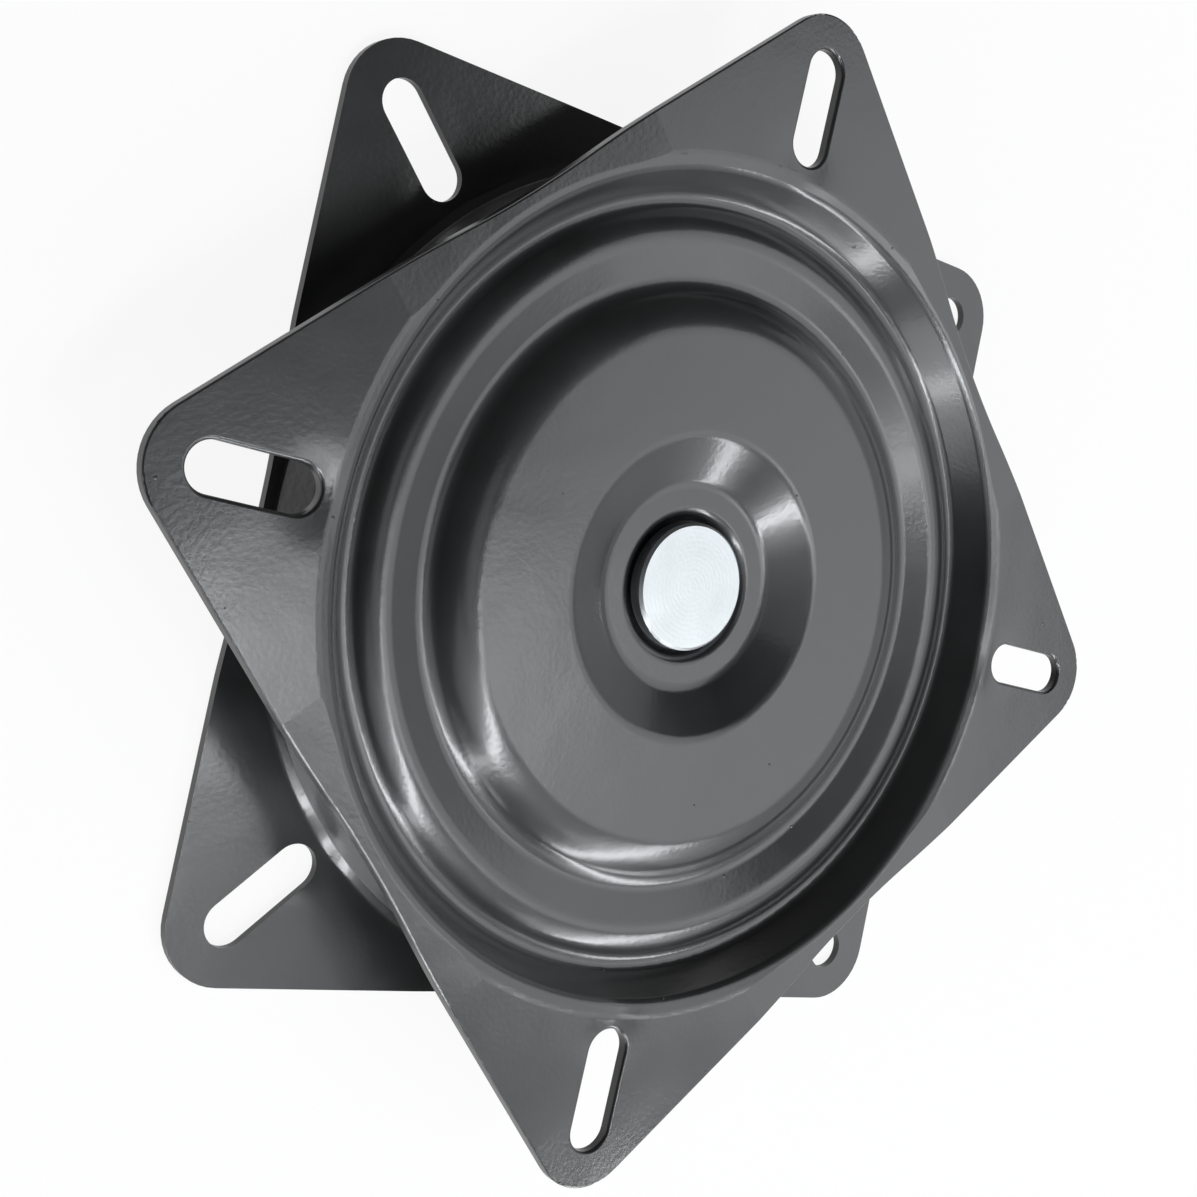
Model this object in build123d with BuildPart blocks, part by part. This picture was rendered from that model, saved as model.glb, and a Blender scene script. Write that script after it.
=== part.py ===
"""Seat swivel plate: two pressed steel plates that turn on a ring of caged balls.

The lower plate's corner flats rest on Z = 0 and the swivel axis is Z, through the
centre of both plates. Lengths are in millimetres and angles in degrees.
"""
import os
from math import cos, radians, sin, tan

from build123d import *

# Blank of each plate. The pressing draws the middle of each side in and down, and the punch
# rounds the edges of the outer face. The blank's sides lie at BLANK_TURN, so that its slots
# are along X and Y, and the upper plate rests turned from the lower one by REST_TURN.
PLATE_SIDE = 177.8
SHEET = 2.3
CORNER_RADIUS = 12.2
SIDE_DIP = 1.2
SIDE_DIP_HALF_LENGTH = 35.5
SIDE_SAG = 0.6
SIDE_SAG_HALF_LENGTH = 33.0
EDGE_ROUND = 0.4
BLANK_TURN = 45.0
REST_TURN = -46.45

# Bolt slots, one on each diagonal
SLOT_WIDTH = 9.0
SLOT_TRAVEL = 15.5
SLOT_INSET = 6.9
SLOT_EDGE_ROUND = 0.7

# Balls and their cage
BALL_DIAMETER = 9.525
BALL_COUNT = 16
BALL_CLEARANCE = 0.1
CAGE_THICKNESS = 2.4
CAGE_RIM = 1.4
CAGE_POCKET_CLEARANCE = 0.15
CAGE_EDGE_CHAMFER = 0.3

# Centre rivet and its two washers
RIVET_SHANK_DIAMETER = 14.0
RIVET_BORE_CLEARANCE = 0.08
RIVET_HEAD_DIAMETER = 26.3
RIVET_HEAD_DEPTH = 6.05
RIVET_HEAD_CHAMFER = 0.6
WASHER_INSET = 0.85
WASHER_THICKNESS = 0.8
WASHER_EDGE_CHAMFER = 0.15
WASHER_BORE_CLEARANCE = 0.1
WASHER_RUNNING_CLEARANCE = 0.1

# Pressing of each plate, from the corner flats in. Depths go inward from the flats on
# the outer face, and bend radii are on the tight side of the sheet.
SHOULDER_INSET = 2.3
SHOULDER_SLOPE = 14.0
SHOULDER_BEND = 3.0
SHOULDER_WIDTH = 2.9
WALL_SLOPE = 57.0
WALL_TOP_BEND = 0.3
WALL_FOOT_BEND = 2.0
VALLEY_DEPTH = 8.0
VALLEY_FLAT = 0.3
RACE_SLOPE = 36.0
RACE_FOOT_BEND = 3.3
RACE_STRAIGHT = 0.28
GROOVE_EASE = 0.54
BAND_SLOPE = 17.0
DRUM_STEP = 15.2
DRUM_DEPTH = 3.4
DRUM_SLOPE = 42.0
DRUM_STRAIGHT = 0.25
DRUM_FOOT_BEND = 4.5
HUB_RADIUS = 31.2
HUB_SLOPE = 24.0
HUB_TOP_BEND = 3.7
HUB_FOOT_BEND = 6.0
CUP_FALL = 2.4
CUP_SLOPE = 60.0
CUP_HEAD_GAP = 0.66
CUP_MOUTH_BEND = 0.2
CUP_FLOOR_BEND = 1.2
CUP_GAP = 0.62


def run_width(fall, slope):
    """Width that a slope takes up in falling by a depth."""
    return fall / tan(radians(slope))


def bend_reach(radius, turn):
    """Distance from the corner of two runs to where the bend between them ends."""
    return radius * tan(radians(turn) / 2)


# Race: the groove over the balls, and the short slope from it out to the valley
BALL_RADIUS = BALL_DIAMETER / 2
GROOVE_RADIUS = BALL_RADIUS + GROOVE_EASE
CROWN_RADIUS = GROOVE_RADIUS + SHEET
RACE_BEND_SHARE = 1 - cos(radians(RACE_SLOPE))
RACE_FALL = (CROWN_RADIUS + RACE_FOOT_BEND) * RACE_BEND_SHARE + RACE_STRAIGHT * sin(radians(RACE_SLOPE))
RACE_DEPTH = VALLEY_DEPTH - RACE_FALL

# Crown corner: where the two slopes beside the groove would meet without the bend, so it
# lies on the line that halves them, beyond the bend by one over the cosine of half the turn
CROWN_TURN = RACE_SLOPE + BAND_SLOPE
CROWN_LEAN = radians((RACE_SLOPE - BAND_SLOPE) / 2)
CROWN_REACH = CROWN_RADIUS / cos(radians(CROWN_TURN / 2))
CROWN_OFFSET = CROWN_REACH * sin(CROWN_LEAN)
CROWN_DEPTH = RACE_DEPTH + CROWN_RADIUS - CROWN_REACH * cos(CROWN_LEAN)

# Radii of the pressing's corners, each from the one outside it
SHOULDER_RADIUS = PLATE_SIDE / 2 - SHOULDER_INSET
SHOULDER_DEPTH = SHOULDER_WIDTH * tan(radians(SHOULDER_SLOPE))
WALL_TOP_RADIUS = SHOULDER_RADIUS - SHOULDER_WIDTH
WALL_FOOT_RADIUS = WALL_TOP_RADIUS - run_width(VALLEY_DEPTH - SHOULDER_DEPTH, WALL_SLOPE)
VALLEY_WIDTH = bend_reach(WALL_FOOT_BEND, WALL_SLOPE) + VALLEY_FLAT + bend_reach(RACE_FOOT_BEND, RACE_SLOPE)
RACE_FOOT_RADIUS = WALL_FOOT_RADIUS - VALLEY_WIDTH
CROWN_CORNER_RADIUS = RACE_FOOT_RADIUS - run_width(VALLEY_DEPTH - CROWN_DEPTH, RACE_SLOPE)
RACE_RADIUS = CROWN_CORNER_RADIUS - CROWN_OFFSET
DRUM_RADIUS = RACE_RADIUS - DRUM_STEP

# Drum foot: where the drum's slope meets the band that falls inward from the crown
DRUM_RISE = tan(radians(DRUM_SLOPE))
BAND_RISE = tan(radians(BAND_SLOPE))
DRUM_DROP = CROWN_DEPTH - DRUM_DEPTH + BAND_RISE * (CROWN_CORNER_RADIUS - DRUM_RADIUS)
DRUM_FOOT_RADIUS = DRUM_RADIUS + DRUM_DROP / (DRUM_RISE + BAND_RISE)
DRUM_FOOT_DEPTH = DRUM_DEPTH + DRUM_RISE * (DRUM_FOOT_RADIUS - DRUM_RADIUS)

# Drum shoulder: its bend takes all of the slope that the foot and the straight leave
DRUM_RUN = (DRUM_FOOT_DEPTH - DRUM_DEPTH) / sin(radians(DRUM_SLOPE))
DRUM_BEND_RUN = DRUM_RUN - DRUM_STRAIGHT - bend_reach(DRUM_FOOT_BEND, DRUM_SLOPE + BAND_SLOPE)
DRUM_BEND = DRUM_BEND_RUN / tan(radians(DRUM_SLOPE / 2)) - SHEET

# Heights, and the cup that holds the rivet head
MID_HEIGHT = RACE_DEPTH + SHEET + BALL_CLEARANCE + BALL_RADIUS
HEIGHT = 2 * MID_HEIGHT
CUP_DEPTH = MID_HEIGHT - CUP_GAP / 2 - SHEET
HUB_DEPTH = CUP_DEPTH - CUP_FALL
HUB_FOOT_RADIUS = HUB_RADIUS - run_width(HUB_DEPTH - DRUM_DEPTH, HUB_SLOPE)
CUP_FOOT_RADIUS = RIVET_HEAD_DIAMETER / 2 + CUP_HEAD_GAP
CUP_MOUTH_RADIUS = CUP_FOOT_RADIUS + run_width(CUP_FALL, CUP_SLOPE)
BORE_RADIUS = RIVET_SHANK_DIAMETER / 2 + RIVET_BORE_CLEARANCE

# Places of the sags, slots, washers, balls and cage
SLOT_MIDDLE = SHOULDER_RADIUS + SLOT_INSET + SLOT_TRAVEL / 2
SAG_ENDS = SIDE_SAG * (1 - (PLATE_SIDE / 2 / SIDE_SAG_HALF_LENGTH) ** 2)
WASHER_DIAMETER = RIVET_HEAD_DIAMETER - 2 * WASHER_INSET
LOWER_WASHER_BASE = CUP_DEPTH - WASHER_THICKNESS
UPPER_WASHER_BASE = HEIGHT - CUP_DEPTH + WASHER_RUNNING_CLEARANCE
POCKET_RADIUS = BALL_RADIUS + CAGE_POCKET_CLEARANCE
CAGE_HALF_WIDTH = POCKET_RADIUS + CAGE_RIM
BALL_SPACING = 360 / BALL_COUNT
FLAT_TOLERANCE = 0.01


def pressing_profile():
    """Corners of the outer face from the corner flats in to the axis, and their bends."""
    corners = [
        (SHOULDER_RADIUS, 0, SHOULDER_BEND),
        (WALL_TOP_RADIUS, SHOULDER_DEPTH, WALL_TOP_BEND),
        (WALL_FOOT_RADIUS, VALLEY_DEPTH, WALL_FOOT_BEND),
        (RACE_FOOT_RADIUS, VALLEY_DEPTH, RACE_FOOT_BEND),
        (CROWN_CORNER_RADIUS, CROWN_DEPTH, GROOVE_RADIUS),
        (DRUM_FOOT_RADIUS, DRUM_FOOT_DEPTH, DRUM_FOOT_BEND),
        (DRUM_RADIUS, DRUM_DEPTH, DRUM_BEND),
        (HUB_RADIUS, DRUM_DEPTH, HUB_TOP_BEND),
        (HUB_FOOT_RADIUS, HUB_DEPTH, HUB_FOOT_BEND),
        (CUP_MOUTH_RADIUS, HUB_DEPTH, CUP_MOUTH_BEND),
        (CUP_FOOT_RADIUS, CUP_DEPTH, CUP_FLOOR_BEND),
    ]
    points = [(radius, depth) for radius, depth, bend in corners]
    return [(PLATE_SIDE, 0)] + points + [(0, CUP_DEPTH)], [bend for *place, bend in corners]


def sheet_faces(points, bends):
    """Outer and inner outlines of the sheet, each as its corners and their bend radii.

    An inner corner is its outer one moved along the two runs' normals by the thickness
    over one plus their dot product. The side away from each bend's centre gains the
    thickness: the outer face where the profile turns inward, and the inner face elsewhere.
    """
    runs = [(Vector(*end) - Vector(*start)).normalized() for start, end in zip(points, points[1:])]
    normals = [Vector(run.Y, -run.X) for run in runs]
    inner_points = [Vector(*points[0]) + normals[0] * SHEET]
    outer_bends = []
    inner_bends = []
    for index, bend in enumerate(bends):
        before, after = normals[index], normals[index + 1]
        shift = (before + after) * (SHEET / (1 + before.dot(after)))
        inner_points.append(Vector(*points[index + 1]) + shift)
        turns_inward = runs[index].cross(runs[index + 1]).Z < 0
        outer_bends.append(bend + SHEET if turns_inward else bend)
        inner_bends.append(bend if turns_inward else bend + SHEET)
    inner_points.append(Vector(*points[-1]) + normals[-1] * SHEET)
    return (points, outer_bends), (inner_points, inner_bends)


def plate_outline():
    """Square blank with round corners, its sides drawn in at the middle by the pressing."""
    half = PLATE_SIDE / 2
    straight = half - CORNER_RADIUS
    dip_half = SIDE_DIP_HALF_LENGTH
    with BuildSketch() as outline:
        with BuildLine():
            for quarter in range(4):
                turn = -90 * quarter
                start, dip_start, dip_turn, dip_middle, turn_back, dip_end, end, corner_end = (
                    Vector(x, y).rotate(Axis.Z, turn)
                    for x, y in (
                        (-straight, half),
                        (-dip_half, half),
                        (-dip_half / 2, half - SIDE_DIP / 2),
                        (0, half - SIDE_DIP),
                        (dip_half / 2, half - SIDE_DIP / 2),
                        (dip_half, half),
                        (straight, half),
                        (half, straight),
                    )
                )
                along = Vector(1, 0).rotate(Axis.Z, turn)
                Line(start, dip_start)
                TangentArc(dip_start, dip_turn, tangent=along)
                dip = ThreePointArc(dip_turn, dip_middle, turn_back)
                TangentArc(turn_back, dip_end, tangent=dip % 1)
                Line(dip_end, end)
                TangentArc(end, corner_end, tangent=along)
        make_face()
    return outline.sketch


def side_sag(depth):
    """Long shallow arc that the middle of one side sags to, as a cutter level with the flats."""
    start = (-PLATE_SIDE / 2, depth + SAG_ENDS)
    end = (PLATE_SIDE / 2, depth + SAG_ENDS)
    with BuildPart() as cutter:
        with BuildSketch(Plane.XZ.offset(RACE_RADIUS)):
            with BuildLine():
                ThreePointArc(start, (0, depth + SIDE_SAG), end)
                Line(end, start)
            make_face()
        extrude(amount=PLATE_SIDE - RACE_RADIUS)
    return cutter.part


def pressed_block(face, depth):
    """Solid filled behind one face of the sheet, whose flats lie at a depth."""
    corners, bends = face
    floor = depth + CUP_DEPTH + 2 * SHEET
    sag = side_sag(depth)
    with BuildPart() as block:
        with BuildSketch(Plane.XZ):
            with BuildLine():
                line = FilletPolyline(*corners, radius=bends)
                Polyline(line @ 1, (0, floor), (PLATE_SIDE, floor), line @ 0)
            make_face()
        revolve(axis=Axis.Z)
        for quarter in range(4):
            add(sag.rotate(Axis.Z, BLANK_TURN + 90 * quarter), mode=Mode.SUBTRACT)
    return block.part


def pressed_plate():
    """One pressed plate, its corner flats at the bottom and its slots along X and Y."""
    outer, inner = sheet_faces(*pressing_profile())
    outline = plate_outline().rotate(Axis.Z, BLANK_TURN)
    outer_block = pressed_block(outer, 0)
    inner_block = pressed_block(inner, SHEET)
    with BuildPart() as plate:
        add(outer_block)
        with BuildSketch():
            add(outline)
        extrude(amount=CUP_DEPTH + SHEET, mode=Mode.INTERSECT)
        rim = plate.faces().filter_by(lambda face: abs(face.normal_at().Z) < FLAT_TOLERANCE)
        fillet(rim.edges().filter_by(lambda edge: edge.center().Z < SIDE_SAG), radius=EDGE_ROUND)
        with BuildSketch():
            with PolarLocations(SLOT_MIDDLE, 4):
                SlotCenterToCenter(SLOT_TRAVEL, SLOT_WIDTH)
            Circle(BORE_RADIUS)
        extrude(amount=CUP_DEPTH + SHEET, mode=Mode.SUBTRACT)
        slot_edges = plate.edges(Select.LAST).group_by(Axis.Z)
        fillet(slot_edges[0], radius=SLOT_EDGE_ROUND)
        add(inner_block, mode=Mode.SUBTRACT)
    return plate.part


def rivet_washer(base_height):
    """Flat ring under one rivet head, its lower face at the given height."""
    with BuildPart() as washer:
        with BuildSketch(Plane.XY.offset(base_height)):
            Circle(WASHER_DIAMETER / 2)
            Circle(RIVET_SHANK_DIAMETER / 2 + WASHER_BORE_CLEARANCE, mode=Mode.SUBTRACT)
        extrude(amount=WASHER_THICKNESS)
        outer_edges = washer.edges().filter_by(GeomType.CIRCLE).group_by(SortBy.RADIUS)[-1]
        chamfer(outer_edges, length=WASHER_EDGE_CHAMFER)
    return washer.part


# Both plates are the same pressing
pressing = pressed_plate()

# Lower plate: rests on its four corner flats, slots along X and Y
with BuildPart() as lower_plate:
    add(pressing)

# Upper plate: the same pressing turned over, set at the angle of the rest position
with BuildPart() as upper_plate:
    mirror(pressing.rotate(Axis.Z, REST_TURN), about=Plane.XY.offset(MID_HEIGHT))

# Washers: the lower one lies against the lower plate's cup, the upper one under the top head
lower_washer_ring = rivet_washer(LOWER_WASHER_BASE)
upper_washer_ring = rivet_washer(UPPER_WASHER_BASE)
with BuildPart() as lower_washer:
    add(lower_washer_ring)
with BuildPart() as upper_washer:
    add(upper_washer_ring)

# Centre rivet: shank through both cups with a flat head at each end
upper_head_base = UPPER_WASHER_BASE + WASHER_THICKNESS
with BuildPart() as centre_rivet:
    with BuildSketch(Plane.XY.offset(RIVET_HEAD_DEPTH)):
        Circle(RIVET_HEAD_DIAMETER / 2)
    extrude(amount=LOWER_WASHER_BASE - RIVET_HEAD_DEPTH)
    with BuildSketch(Plane.XY.offset(upper_head_base)):
        Circle(RIVET_HEAD_DIAMETER / 2)
    extrude(amount=HEIGHT - RIVET_HEAD_DEPTH - upper_head_base)
    head_edges = centre_rivet.edges().group_by(Axis.Z)
    chamfer(head_edges[0] + head_edges[-1], length=RIVET_HEAD_CHAMFER)
    with BuildSketch(Plane.XY.offset(RIVET_HEAD_DEPTH + RIVET_HEAD_CHAMFER)):
        Circle(RIVET_SHANK_DIAMETER / 2)
    extrude(amount=HEIGHT - 2 * (RIVET_HEAD_DEPTH + RIVET_HEAD_CHAMFER))

# Race balls: one ring, running in the grooves under the two crowns
race_balls = {}
for index in range(BALL_COUNT):
    turn = radians(index * BALL_SPACING)
    centre = Vector(RACE_RADIUS * cos(turn), RACE_RADIUS * sin(turn), MID_HEIGHT)
    with BuildPart(Plane(centre)) as ball:
        Sphere(BALL_RADIUS)
    race_balls[f"ball_{index + 1:02d}"] = ball

# Ball cage: flat moulded ring at mid height, one round pocket for each ball
with BuildPart() as ball_cage:
    with BuildSketch(Plane.XY.offset(MID_HEIGHT - CAGE_THICKNESS / 2)):
        Circle(RACE_RADIUS + CAGE_HALF_WIDTH)
        Circle(RACE_RADIUS - CAGE_HALF_WIDTH, mode=Mode.SUBTRACT)
    extrude(amount=CAGE_THICKNESS)
    chamfer(ball_cage.edges(), length=CAGE_EDGE_CHAMFER)
    with PolarLocations(RACE_RADIUS, BALL_COUNT):
        Hole(POCKET_RADIUS)

os.makedirs("parts", exist_ok=True)
pieces = {
    "lower_plate": lower_plate,
    "upper_plate": upper_plate,
    "lower_washer": lower_washer,
    "upper_washer": upper_washer,
    "centre_rivet": centre_rivet,
    "ball_cage": ball_cage,
    **race_balls,
}
for name, piece in pieces.items():
    piece.part.label = name
    export_step(piece.part, f"parts/{name}.step")
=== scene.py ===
"""Looks of a pressed steel seat swivel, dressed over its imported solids.

The swivel lies flat, as it would rest, with its axis along Z. The camera looks down on it
from the photograph's direction. Lengths are in metres, except where a comment says mm.
"""
from math import atan2, cos, pi, radians, sin, tan

import bpy
from mathutils import Matrix, Vector

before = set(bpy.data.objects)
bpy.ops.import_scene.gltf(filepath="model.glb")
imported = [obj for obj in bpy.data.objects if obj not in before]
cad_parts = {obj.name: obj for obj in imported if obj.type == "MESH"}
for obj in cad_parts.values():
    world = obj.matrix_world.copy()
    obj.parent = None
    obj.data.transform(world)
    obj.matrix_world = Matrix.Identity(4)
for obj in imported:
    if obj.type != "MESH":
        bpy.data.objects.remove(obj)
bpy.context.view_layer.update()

# Pressed plates
# Each real plate is one pressing of 2.3 mm steel sheet, dipped and stoved in black enamel.
# The enamel skins over glossy with a fine orange peel, holds a few nibs of dust, and draws
# back thin and grey from the punched edges.
ENAMEL_DARK = (0.0045, 0.0048, 0.0054, 1)
ENAMEL_LIGHT = (0.0175, 0.0182, 0.0194, 1)
ENAMEL_THIN = (0.022, 0.0215, 0.021, 1)
ENAMEL_GLOSS_ROUGHNESS = 0.17
SHEET = 2.3  # mm
CUP_DEPTH = 10.306  # mm
PRESSED_CORNERS = [  # radius, depth and bend radius in mm, from the corner flats in
    (86.600, 0.000, 3.000),
    (83.700, 0.723, 0.300),
    (78.974, 8.000, 2.000),
    (76.516, 8.000, 3.300),
    (72.356, 4.977, 5.303),
    (61.269, 8.367, 4.500),
    (55.754, 3.400, 9.752),
    (31.200, 3.400, 3.700),
    (21.080, 7.906, 6.000),
    (15.196, 7.906, 0.200),
    (13.810, 10.306, 1.200),
]
MIDDLE_HEIGHT = 0.0129157
SHOULDER_START = 0.0850
SHOULDER_END = 0.0858
LEAST_UPRIGHT = 0.3
UPPER_TURN = radians(46.45)
SLOT_END_RADIUS = 0.0890
SLOT_DRAW_WIDTH = 0.0060


def add_node(tree, kind, inputs=None, **settings):
    """One node, with its settings and the values or links of its named inputs."""
    node = tree.nodes.new(kind)
    for name, value in settings.items():
        setattr(node, name, value)
    for name, value in (inputs or {}).items():
        if isinstance(value, bpy.types.NodeSocket):
            tree.links.new(value, node.inputs[name])
        else:
            node.inputs[name].default_value = value
    return node


def add_math(tree, operation, *values):
    """Result of one sum on values or links."""
    node = add_node(tree, "ShaderNodeMath", dict(enumerate(values)), operation=operation)
    return node.outputs["Value"]


def add_vector_math(tree, operation, result, *vectors):
    """Named result of one vector sum on vectors or links."""
    node = add_node(tree, "ShaderNodeVectorMath", dict(enumerate(vectors)), operation=operation)
    return node.outputs[result]


def add_ramp(tree, value, start, end, first=0.0, last=1.0, curve="LINEAR"):
    """Ramp that goes from first to last while the value goes from start to end."""
    inputs = {"Value": value, "From Min": start, "From Max": end, "To Min": first, "To Max": last}
    node = add_node(tree, "ShaderNodeMapRange", inputs, interpolation_type=curve)
    return node.outputs["Result"]


def add_mix(tree, kind, factor, first, second):
    """Mix of two values, vectors or colours, or links to them; kind names which."""
    data_type = {"Float": "FLOAT", "Vector": "VECTOR", "Color": "RGBA"}[kind]
    mix = add_node(tree, "ShaderNodeMix", data_type=data_type)
    sockets = {"Factor_Float": factor, f"A_{kind}": first, f"B_{kind}": second}
    for socket in mix.inputs:
        value = sockets.get(socket.identifier)
        if isinstance(value, bpy.types.NodeSocket):
            tree.links.new(value, socket)
        elif value is not None:
            socket.default_value = value
    return next(socket for socket in mix.outputs if socket.identifier == f"Result_{kind}")


def new_group(name, inputs, outputs):
    """An empty shader group; gives its tree, its input sockets and its output node."""
    tree = bpy.data.node_groups.new(name, "ShaderNodeTree")
    for socket, kind in inputs.items():
        tree.interface.new_socket(socket, in_out="INPUT", socket_type=f"NodeSocket{kind}")
    for socket, kind in outputs.items():
        tree.interface.new_socket(socket, in_out="OUTPUT", socket_type=f"NodeSocket{kind}")
    given = tree.nodes.new("NodeGroupInput").outputs
    return tree, given, tree.nodes.new("NodeGroupOutput")


def add_group(tree, group, **inputs):
    """Outputs of one use of a shader group, with its own values or links."""
    return add_node(tree, "ShaderNodeGroup", inputs, node_tree=group).outputs


def object_place(tree):
    """Place on the piece, in the object's own coordinates."""
    return add_node(tree, "ShaderNodeTexCoord").outputs["Object"]


def clouding_group():
    """Slow clouds over a surface, which shift its colour and its gloss together."""
    inputs = {"Scale": "Float", "Dark": "Color", "Light": "Color", "Glossy": "Float", "Dull": "Float"}
    outputs = {"Color": "Color", "Roughness": "Float"}
    tree, given, result = new_group("clouding", inputs, outputs)
    settings = {"Vector": object_place(tree), "Scale": given["Scale"], "Detail": 4.0, "Roughness": 0.55}
    cloud = add_node(tree, "ShaderNodeTexNoise", settings)
    spread = add_ramp(tree, cloud.outputs["Fac"], 0.3, 0.7)
    gloss = add_ramp(tree, spread, 0.0, 1.0, given["Glossy"], given["Dull"])
    colour = add_mix(tree, "Color", spread, given["Dark"], given["Light"])
    tree.links.new(colour, result.inputs["Color"])
    tree.links.new(gloss, result.inputs["Roughness"])
    return tree


def grain_group():
    """Fine lumps in a surface, given by their number in a metre and their height."""
    inputs = {"Scale": "Float", "Height": "Float", "Normal": "Vector"}
    tree, given, result = new_group("grain", inputs, {"Normal": "Vector"})
    settings = {"Vector": object_place(tree), "Scale": given["Scale"], "Detail": 2.0, "Roughness": 0.45}
    lumps = add_node(tree, "ShaderNodeTexNoise", settings)
    relief = add_node(
        tree, "ShaderNodeBump",
        {"Height": lumps.outputs["Fac"], "Distance": given["Height"], "Normal": given["Normal"]},
    )
    tree.links.new(relief.outputs["Normal"], result.inputs["Normal"])
    return tree


def edge_rub_group():
    """Mask of the outer edges, where handling has rubbed the finish; broken up by a fine noise.

    The mask is how far the surface's own direction leans from the direction that a small
    rounding of the edges would give it.
    """
    inputs = {"Radius": "Float", "Breaks": "Float"}
    tree, given, result = new_group("edge rub", inputs, {"Mask": "Float"})
    own = add_node(tree, "ShaderNodeNewGeometry").outputs["True Normal"]
    rounded = add_node(tree, "ShaderNodeBevel", {"Radius": given["Radius"]}, samples=4)
    likeness = add_vector_math(tree, "DOT_PRODUCT", "Value", own, rounded.outputs["Normal"])
    lean = add_ramp(tree, likeness, 0.97, 0.80, curve="SMOOTHSTEP")
    settings = {"Vector": object_place(tree), "Scale": given["Breaks"], "Detail": 3.0}
    chips = add_node(tree, "ShaderNodeTexNoise", settings)
    left = add_ramp(tree, chips.outputs["Fac"], 0.42, 0.6)
    tree.links.new(add_math(tree, "MULTIPLY", lean, left), result.inputs["Mask"])
    return tree


clouding = clouding_group()
grain = grain_group()
edge_rub = edge_rub_group()


def new_material(name):
    """A new material; gives it, its tree and its Principled shader."""
    material = bpy.data.materials.new(name)
    material.use_nodes = True
    return material, material.node_tree, material.node_tree.nodes["Principled BSDF"]


def clouded_finish(tree, shader, clouds, rub, rubbed_colour):
    """Links a clouded colour and gloss to the shader, with the edges rubbed to a colour."""
    finish = add_group(tree, clouding, **clouds)
    colour = finish["Color"]
    if rub:
        worn = add_group(tree, edge_rub, **rub)
        colour = add_mix(tree, "Color", worn["Mask"], colour, rubbed_colour)
    tree.links.new(colour, shader.inputs["Base Color"])
    tree.links.new(finish["Roughness"], shader.inputs["Roughness"])


def dress(names, material):
    """Puts one material on the named solids."""
    for name in names:
        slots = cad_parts[name].data.materials
        slots.clear()
        slots.append(material)


def pressed_bends():
    """Inner radius, outer radius and change of lean of every bend, for both sheet faces.

    The lean is the sine of a run's slope, and over a round bend it changes evenly with the
    radius. The outer side of a bend has the sheet's thickness added to its radius.
    """
    corners = [(radius, depth) for radius, depth, bend in PRESSED_CORNERS] + [(0.0, CUP_DEPTH)]
    slopes = [0.0]
    for (radius, depth), (next_radius, next_depth) in zip(corners, corners[1:]):
        slopes.append(atan2(next_depth - depth, radius - next_radius))
    outer = []
    inner = []
    for (radius, depth, bend), before, after in zip(PRESSED_CORNERS, slopes, slopes[1:]):
        half_turn = abs(after - before) / 2
        change = sin(after) - sin(before)
        shift = SHEET * (sin(before) + sin(after)) / (1 + cos(after - before))
        falls = after > before
        for face, middle, round_radius in (
            (outer, radius, bend + SHEET if falls else bend),
            (inner, radius + shift, bend if falls else bend + SHEET),
        ):
            reach = round_radius * tan(half_turn)
            start = middle - reach * cos(after)
            end = middle + reach * cos(before)
            face.append((start / 1000, end / 1000, change))
    return outer, inner


def radial_place(tree, place):
    """Place with its height taken out, and its distance from the axis."""
    level = add_vector_math(tree, "MULTIPLY", "Vector", place, (1, 1, 0))
    return level, add_vector_math(tree, "LENGTH", "Value", level)


def pressed_direction_group():
    """Direction of the pressed surface at any radius, worked out from the pressing's bends.

    The lean toward the axis is a sum of ramps, one over each bend. Beyond the shoulder, and
    on cut edges, the mesh's own direction stays.
    """
    tree, given, result = new_group("pressed direction", {}, {"Normal": "Vector"})
    coordinates = add_node(tree, "ShaderNodeTexCoord").outputs
    place = add_node(tree, "ShaderNodeSeparateXYZ", {"Vector": coordinates["Object"]}).outputs
    own = add_node(tree, "ShaderNodeSeparateXYZ", {"Vector": coordinates["Normal"]}).outputs
    level, radius = radial_place(tree, coordinates["Object"])
    half = add_math(tree, "SUBTRACT", place["Z"], MIDDLE_HEIGHT)
    on_outer = add_math(tree, "GREATER_THAN", add_math(tree, "MULTIPLY", half, own["Z"]), 0.0)
    leans = []
    for bends in pressed_bends():
        lean = 0.0
        for start, end, change in bends:
            lean = add_math(tree, "ADD", lean, add_ramp(tree, radius, start, end, last=change))
        leans.append(lean)
    outer_lean, inner_lean = leans
    lean = add_mix(tree, "Float", on_outer, add_math(tree, "MULTIPLY", inner_lean, -1.0), outer_lean)
    upright = add_math(tree, "SUBTRACT", 1.0, add_math(tree, "MULTIPLY", lean, lean))
    upright = add_math(tree, "SQRT", upright)
    rise = add_math(tree, "MULTIPLY", upright, add_math(tree, "SIGN", own["Z"]))
    upward = add_node(tree, "ShaderNodeCombineXYZ", {"Z": rise}).outputs["Vector"]
    outward = add_vector_math(tree, "NORMALIZE", "Vector", level)
    sideways = add_node(
        tree, "ShaderNodeVectorMath", {"Vector": outward, "Scale": lean}, operation="SCALE",
    )
    pressed = add_vector_math(tree, "ADD", "Vector", sideways.outputs["Vector"], upward)
    turned = add_ramp(tree, radius, SHOULDER_START, SHOULDER_END, 1.0, 0.0)
    on_face = add_math(tree, "GREATER_THAN", add_math(tree, "ABSOLUTE", own["Z"]), LEAST_UPRIGHT)
    share = add_math(tree, "MULTIPLY", turned, on_face)
    blend = add_mix(tree, "Vector", share, coordinates["Normal"], pressed)
    facing = add_node(
        tree, "ShaderNodeVectorTransform", {"Vector": blend},
        vector_type="NORMAL", convert_from="OBJECT", convert_to="WORLD",
    )
    tree.links.new(facing.outputs["Vector"], result.inputs["Normal"])
    return tree


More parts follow.
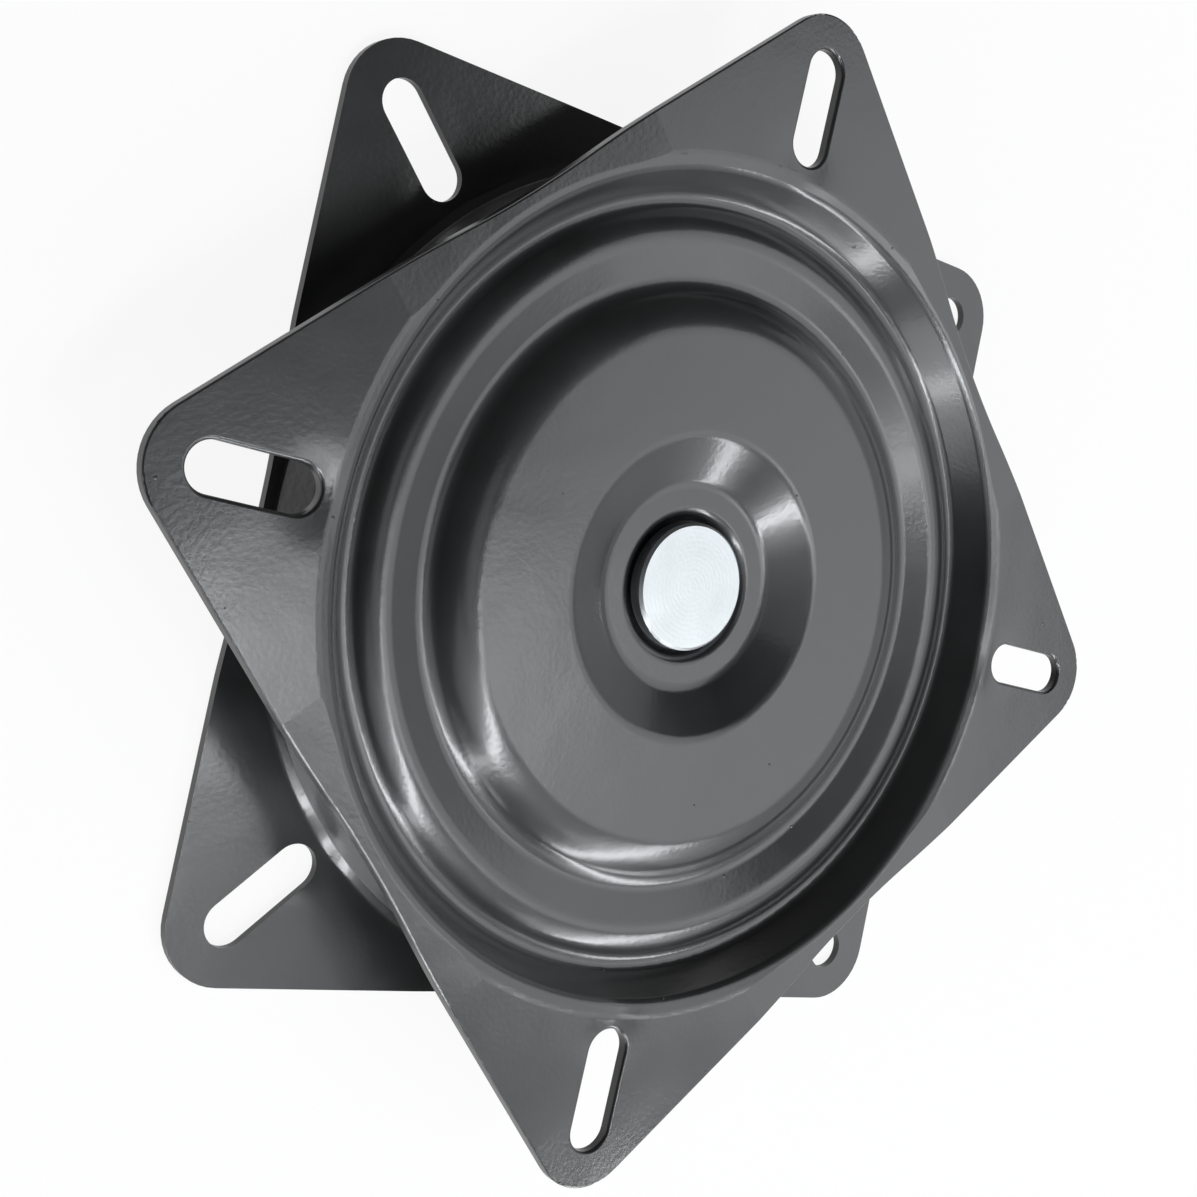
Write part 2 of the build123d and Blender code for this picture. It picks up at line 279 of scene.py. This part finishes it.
def slot_draw_group():
    """Shallow dimple that the pressing draws round the inner end of every slot.

    Its depth falls off as a bell curve with the distance from the slot's end.
    """
    inputs = {"Depth": "Float", "Normal": "Vector"}
    tree, given, result = new_group("slot draw", inputs, {"Normal": "Vector"})
    where = object_place(tree)
    place = add_node(tree, "ShaderNodeSeparateXYZ", {"Vector": where}).outputs
    radius = radial_place(tree, where)[1]
    on_upper = add_math(tree, "GREATER_THAN", place["Z"], MIDDLE_HEIGHT)
    bearing = add_math(tree, "ARCTAN2", place["Y"], place["X"])
    bearing = add_math(tree, "ADD", bearing, add_math(tree, "MULTIPLY", on_upper, UPPER_TURN))
    beside = add_math(tree, "WRAP", bearing, pi / 4, -pi / 4)
    across = add_math(tree, "MULTIPLY", radius, add_math(tree, "SINE", beside))
    along = add_math(tree, "MULTIPLY", radius, add_math(tree, "COSINE", beside))
    along = add_math(tree, "SUBTRACT", along, SLOT_END_RADIUS)
    spread = add_math(
        tree, "ADD",
        add_math(tree, "MULTIPLY", across, across), add_math(tree, "MULTIPLY", along, along),
    )
    bell = add_math(tree, "EXPONENT", add_math(tree, "MULTIPLY", spread, -1 / SLOT_DRAW_WIDTH ** 2))
    relief = add_node(
        tree, "ShaderNodeBump",
        {"Height": bell, "Distance": given["Depth"], "Normal": given["Normal"]}, invert=True,
    )
    tree.links.new(relief.outputs["Normal"], result.inputs["Normal"])
    return tree


def stoved_enamel():
    """Black enamel: a dull pigment under a glossy skin, with peel and nibs in its relief."""
    material, tree, shader = new_material("black stoved enamel")
    clouds = {"Scale": 30.0, "Dark": ENAMEL_DARK, "Light": ENAMEL_LIGHT, "Glossy": 0.30, "Dull": 0.42}
    clouded_finish(tree, shader, clouds, {"Radius": 0.0004, "Breaks": 260.0}, ENAMEL_THIN)

    direction = add_node(tree, "ShaderNodeTexCoord").outputs["Normal"]
    height = add_node(tree, "ShaderNodeSeparateXYZ", {"Vector": direction}).outputs["Z"]
    skin = add_ramp(tree, add_math(tree, "ABSOLUTE", height), 0.15, 0.45, 0.1, 1.0)
    tree.links.new(skin, shader.inputs["Coat Weight"])

    pressed = add_group(tree, pressed_direction_group())["Normal"]
    drawn = add_group(tree, slot_draw_group(), Depth=0.0006, Normal=pressed)["Normal"]
    waves = add_group(tree, grain, Scale=45.0, Height=0.00020, Normal=drawn)["Normal"]
    peel = add_group(tree, grain, Scale=1000.0, Height=0.000021, Normal=waves)["Normal"]
    dust = add_node(tree, "ShaderNodeTexVoronoi", {"Vector": object_place(tree), "Scale": 110.0})
    nib = add_ramp(tree, dust.outputs["Distance"], 0.018, 0.040, 1.0, 0.0, "SMOOTHSTEP")
    nibs = add_node(tree, "ShaderNodeBump", {"Height": nib, "Distance": 0.00012, "Normal": peel})
    tree.links.new(nibs.outputs["Normal"], shader.inputs["Normal"])
    tree.links.new(nibs.outputs["Normal"], shader.inputs["Coat Normal"])
    shader.inputs["Coat Roughness"].default_value = ENAMEL_GLOSS_ROUGHNESS
    return material


dress(["upper_plate", "lower_plate"], stoved_enamel())

# Centre rivet and washers
# The rivet is turned steel, headed over on assembly and bright zinc plated. Its face keeps
# faint tool rings and a few rubbed marks. The two washers are plated in the same bath.
ZINC_DARK = (0.53, 0.555, 0.57, 1)
ZINC_LIGHT = (0.59, 0.615, 0.625, 1)
ZINC_RUBBED = (0.65, 0.655, 0.65, 1)


def zinc_plate():
    """Bright zinc: pale metal, clouded, with fine rings about the axis and rubbed edges."""
    material, tree, shader = new_material("bright zinc plate")
    clouds = {"Scale": 160.0, "Dark": ZINC_DARK, "Light": ZINC_LIGHT, "Glossy": 0.33, "Dull": 0.48}
    clouded_finish(tree, shader, clouds, {"Radius": 0.0004, "Breaks": 500.0}, ZINC_RUBBED)
    rings = add_node(
        tree, "ShaderNodeTexWave",
        {"Vector": object_place(tree), "Scale": 330.0, "Distortion": 1.2, "Detail": 1.0},
        wave_type="RINGS", rings_direction="Z",
    )
    tool_marks = add_node(tree, "ShaderNodeBump", {"Height": rings.outputs["Fac"], "Distance": 0.000004})
    crystals = add_group(tree, grain, Scale=1400.0, Height=0.00002, Normal=tool_marks.outputs["Normal"])
    tree.links.new(crystals["Normal"], shader.inputs["Normal"])
    shader.inputs["Metallic"].default_value = 1.0
    return material


dress(["centre_rivet", "upper_washer", "lower_washer"], zinc_plate())

# Balls
# Sixteen bearing balls of chrome steel, ground and polished. They are packed with grease,
# which leaves a cloudy, smeared film over them.
BALL_NAMES = [f"ball_{number:02d}" for number in range(1, 17)]
STEEL_UNDER_GREASE = (0.36, 0.345, 0.31, 1)
STEEL_WIPED = (0.56, 0.56, 0.55, 1)


def ball_steel():
    """Polished bearing steel under a cloudy film of grease."""
    material, tree, shader = new_material("greased ball steel")
    clouds = {
        "Scale": 260.0, "Dark": STEEL_UNDER_GREASE, "Light": STEEL_WIPED, "Glossy": 0.07, "Dull": 0.34,
    }
    clouded_finish(tree, shader, clouds, None, None)
    smear = add_group(tree, grain, Scale=420.0, Height=0.000012)
    tree.links.new(smear["Normal"], shader.inputs["Normal"])
    shader.inputs["Metallic"].default_value = 1.0
    return material


dress(BALL_NAMES, ball_steel())

# Ball cage
# One flat ring moulded in black nylon, with a round pocket for each ball. It is matt, a
# little glossier where the grease wets it, and scuffed pale on its edges.
NYLON_DARK = (0.018, 0.018, 0.020, 1)
NYLON_LIGHT = (0.040, 0.040, 0.042, 1)
NYLON_SCUFFED = (0.11, 0.11, 0.11, 1)


def cage_nylon():
    """Dark moulded nylon: faint mottle, matt grain and scuffed edges."""
    material, tree, shader = new_material("moulded cage nylon")
    clouds = {"Scale": 180.0, "Dark": NYLON_DARK, "Light": NYLON_LIGHT, "Glossy": 0.32, "Dull": 0.58}
    clouded_finish(tree, shader, clouds, {"Radius": 0.0003, "Breaks": 400.0}, NYLON_SCUFFED)
    skin = add_group(tree, grain, Scale=1500.0, Height=0.00003)
    tree.links.new(skin["Normal"], shader.inputs["Normal"])
    return material


dress(["ball_cage"], cage_nylon())

# Studio
# A pale floor that keeps the plate's shadow, three strip lamps that draw the bright bands
# on the pressed walls, and dimmer boxes beside them. The surround is dim for the object,
# and white where the camera sees it and low behind the floor's edge.
FLOOR_SIZE = 8.0
FLOOR_WHITE_NEAR = 0.9
NEAR_DISTANCE = 0.08
FAR_DISTANCE = 0.6
SURROUND_DIM = 0.07
SURROUND_WHITE_BELOW = 0.03
SURROUND_DIM_ABOVE = 0.12
LAMP_TINT = (0.955, 0.98, 1.0)
LAMPS = [  # name, two ends as azimuth and elevation, distance, width and brightness
    ("upper_strip", (-160, 8), (-55, 68), 1.2, 0.06, 15.5),
    ("upper_strip_middle", (-138, 50), (-90, 68), 1.2, 0.06, 23.0),
    ("lower_strip", (-123, 3), (-72, 42), 3.0, 0.31, 14.0),
    ("high_box", (-66, 61), (-44, 61), 3.0, 0.7, 3.6),
    ("front_box", (-68, 44), (-10, 44), 1.4, 0.56, 1.7),
    ("low_box", (-92, 16), (-4, 16), 1.4, 0.7, 0.55),
    ("corner_box", (-108, 32), (-84, 32), 1.4, 0.5, 1.2),
    ("side_box", (-180, 12), (-138, 12), 1.4, 0.55, 2.6),
    ("side_high_box", (-180, 58), (-130, 58), 1.4, 0.7, 0.7),
    ("top_box", (-140, 78), (40, 78), 1.4, 0.4, 0.6),
]
CAMERA_PLACE = Vector((-0.16415, 0.15946, 0.29528))
CAMERA_AIM = Vector((0.00461, 0.01357, 0.02583))
CAMERA_ROLL = radians(98.352)
CAMERA_LENS = 52.794
CAMERA_SHIFT = (-0.0850, -0.0635)


def white_floor():
    """Matt white that camera, mirror and clear rays see mostly at full white."""
    material, tree, shader = new_material("white floor")
    shader.inputs["Base Color"].default_value = (0.9, 0.9, 0.9, 1)
    shader.inputs["Roughness"].default_value = 0.9
    shader.inputs["Specular IOR Level"].default_value = 0.1
    path = add_node(tree, "ShaderNodeLightPath").outputs
    seen = add_math(tree, "MAXIMUM", path["Is Camera Ray"], path["Is Glossy Ray"])
    seen = add_math(tree, "MAXIMUM", seen, path["Is Transmission Ray"])
    away = add_vector_math(tree, "LENGTH", "Value", object_place(tree))
    white_share = add_ramp(tree, away, NEAR_DISTANCE, FAR_DISTANCE, FLOOR_WHITE_NEAR, 1.0)
    white = add_node(tree, "ShaderNodeEmission", {"Strength": 1.0}).outputs["Emission"]
    both = add_node(
        tree, "ShaderNodeMixShader",
        {0: add_math(tree, "MULTIPLY", seen, white_share), 1: shader.outputs["BSDF"], 2: white},
    )
    tree.links.new(both.outputs["Shader"], tree.nodes["Material Output"].inputs["Surface"])
    return material


def floor_plane():
    """One square of floor at Z = 0."""
    mesh = bpy.data.meshes.new("floor")
    half = FLOOR_SIZE / 2
    corners = [(-half, -half, 0), (half, -half, 0), (half, half, 0), (-half, half, 0)]
    mesh.from_pydata(corners, [], [(0, 1, 2, 3)])
    mesh.materials.append(white_floor())
    floor = bpy.data.objects.new("floor", mesh)
    bpy.context.scene.collection.objects.link(floor)


def toward(azimuth, elevation):
    """Unit vector from the plate's centre in a direction."""
    turn = radians(azimuth)
    rise = radians(elevation)
    return Vector((cos(rise) * cos(turn), cos(rise) * sin(turn), sin(rise)))


def long_lamp(name, start, end, distance, width, brightness):
    """A flat lamp seen from the plate between two directions; brightness 1 is white."""
    first = toward(*start)
    last = toward(*end)
    middle = (first + last).normalized()
    along = (last - first).normalized()
    lamp = bpy.data.lights.new(name, "AREA")
    lamp.shape = "RECTANGLE"
    lamp.size = 2 * distance * tan(first.angle(last) / 2)
    lamp.size_y = width
    lamp.energy = pi * lamp.size * width * brightness
    lamp.color = LAMP_TINT
    holder = bpy.data.objects.new(name, lamp)
    turn = Matrix((along, middle.cross(along), middle)).transposed()
    holder.matrix_world = Matrix.Translation(middle * distance) @ turn.to_4x4()
    holder.visible_camera = False
    bpy.context.scene.collection.objects.link(holder)


def photograph_camera():
    """The camera that saw the photograph: place, aim, roll about its axis, lens and shift."""
    data = bpy.data.cameras.new("camera")
    data.lens = CAMERA_LENS
    data.sensor_width = 36.0
    data.shift_x, data.shift_y = CAMERA_SHIFT
    camera = bpy.data.objects.new("camera", data)
    axis = CAMERA_AIM - CAMERA_PLACE
    turn = axis.to_track_quat("-Z", "Y").to_matrix() @ Matrix.Rotation(CAMERA_ROLL, 3, "Z")
    camera.matrix_world = Matrix.Translation(CAMERA_PLACE) @ turn.to_4x4()
    bpy.context.scene.collection.objects.link(camera)
    bpy.context.scene.camera = camera


def studio_world():
    """A dim surround, white wherever the camera sees it and low behind the floor's edge."""
    world = bpy.data.worlds.new("studio")
    world.use_nodes = True
    tree = world.node_tree
    surround = tree.nodes["Background"]
    surround.inputs["Color"].default_value = (1, 1, 1, 1)
    path = add_node(tree, "ShaderNodeLightPath").outputs
    direction = add_node(tree, "ShaderNodeTexCoord").outputs["Generated"]
    height = add_node(tree, "ShaderNodeSeparateXYZ", {"Vector": direction}).outputs["Z"]
    low = add_ramp(tree, height, SURROUND_WHITE_BELOW, SURROUND_DIM_ABOVE, 1.0, 0.0)
    mirrored = add_math(tree, "MAXIMUM", path["Is Glossy Ray"], path["Is Transmission Ray"])
    mirrored = add_math(tree, "MULTIPLY", mirrored, low)
    seen = add_math(tree, "MAXIMUM", path["Is Camera Ray"], mirrored)
    tree.links.new(add_ramp(tree, seen, 0.0, 1.0, SURROUND_DIM, 1.0), surround.inputs["Strength"])
    return world


floor_plane()
for lamp_sizes in LAMPS:
    long_lamp(*lamp_sizes)
photograph_camera()
bpy.context.scene.world = studio_world()
bpy.context.scene.view_settings.view_transform = "Standard"
